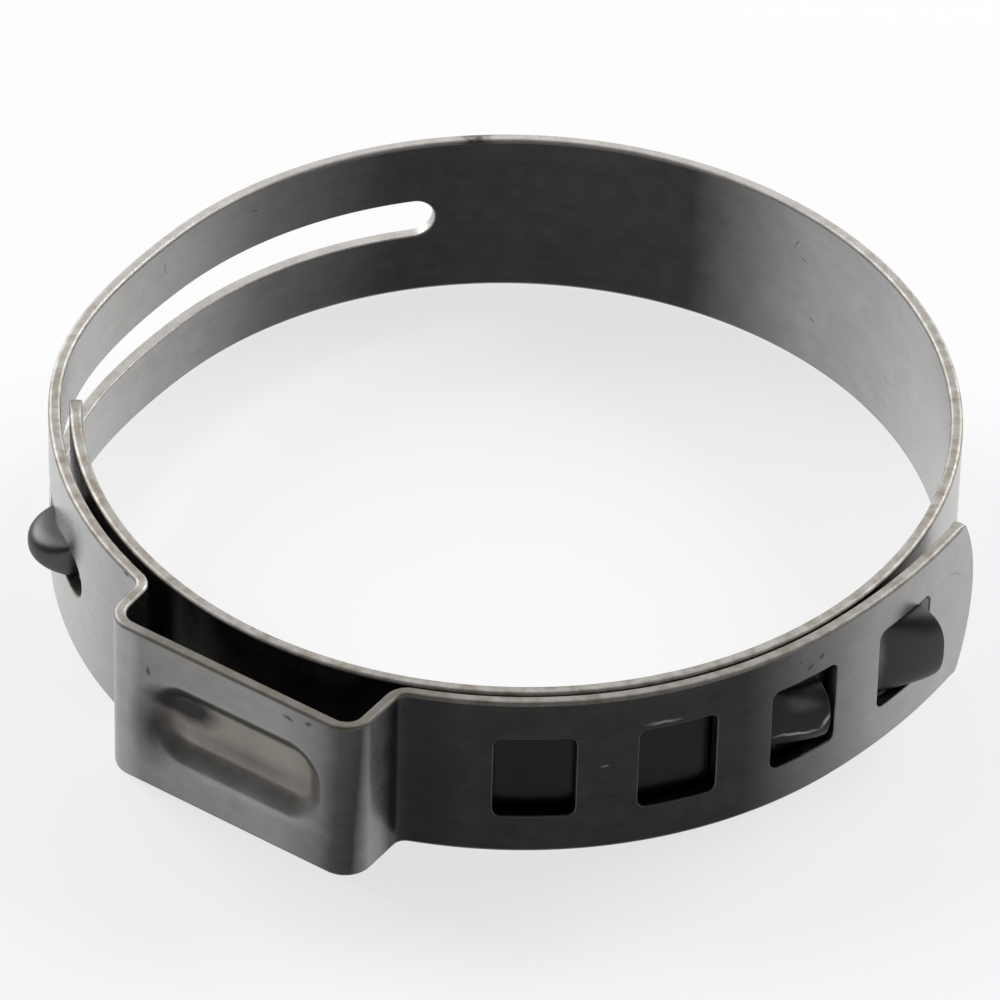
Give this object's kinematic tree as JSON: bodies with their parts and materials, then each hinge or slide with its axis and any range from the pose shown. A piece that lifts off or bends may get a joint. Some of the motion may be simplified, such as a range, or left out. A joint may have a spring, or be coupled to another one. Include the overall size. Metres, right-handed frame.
{
  "type": "ear hose clamp",
  "caption": "Stepless ear clamp for a hose: a flat stainless strip rolled into an overlapping ring, with a squeeze ear, windows, hooks and a guide slot, open.",
  "frame": {"origin": "on the axis of the hose bore, half way up the band", "axes": "+Z is the hose's axis; the ear stands out between -X and -Y; the strip runs counter-clockwise seen from +Z, from the inner end at -X, twice past -Y, to the outer end near +X"},
  "size_m": [0.0444, 0.0449, 0.009],
  "materials": {
    "band_steel": "cold-rolled stainless strip, bare, with broken edges"
  },
  "bodies": {
    "root": {"clamp_band": "band_steel"}
  },
  "joints": []
}
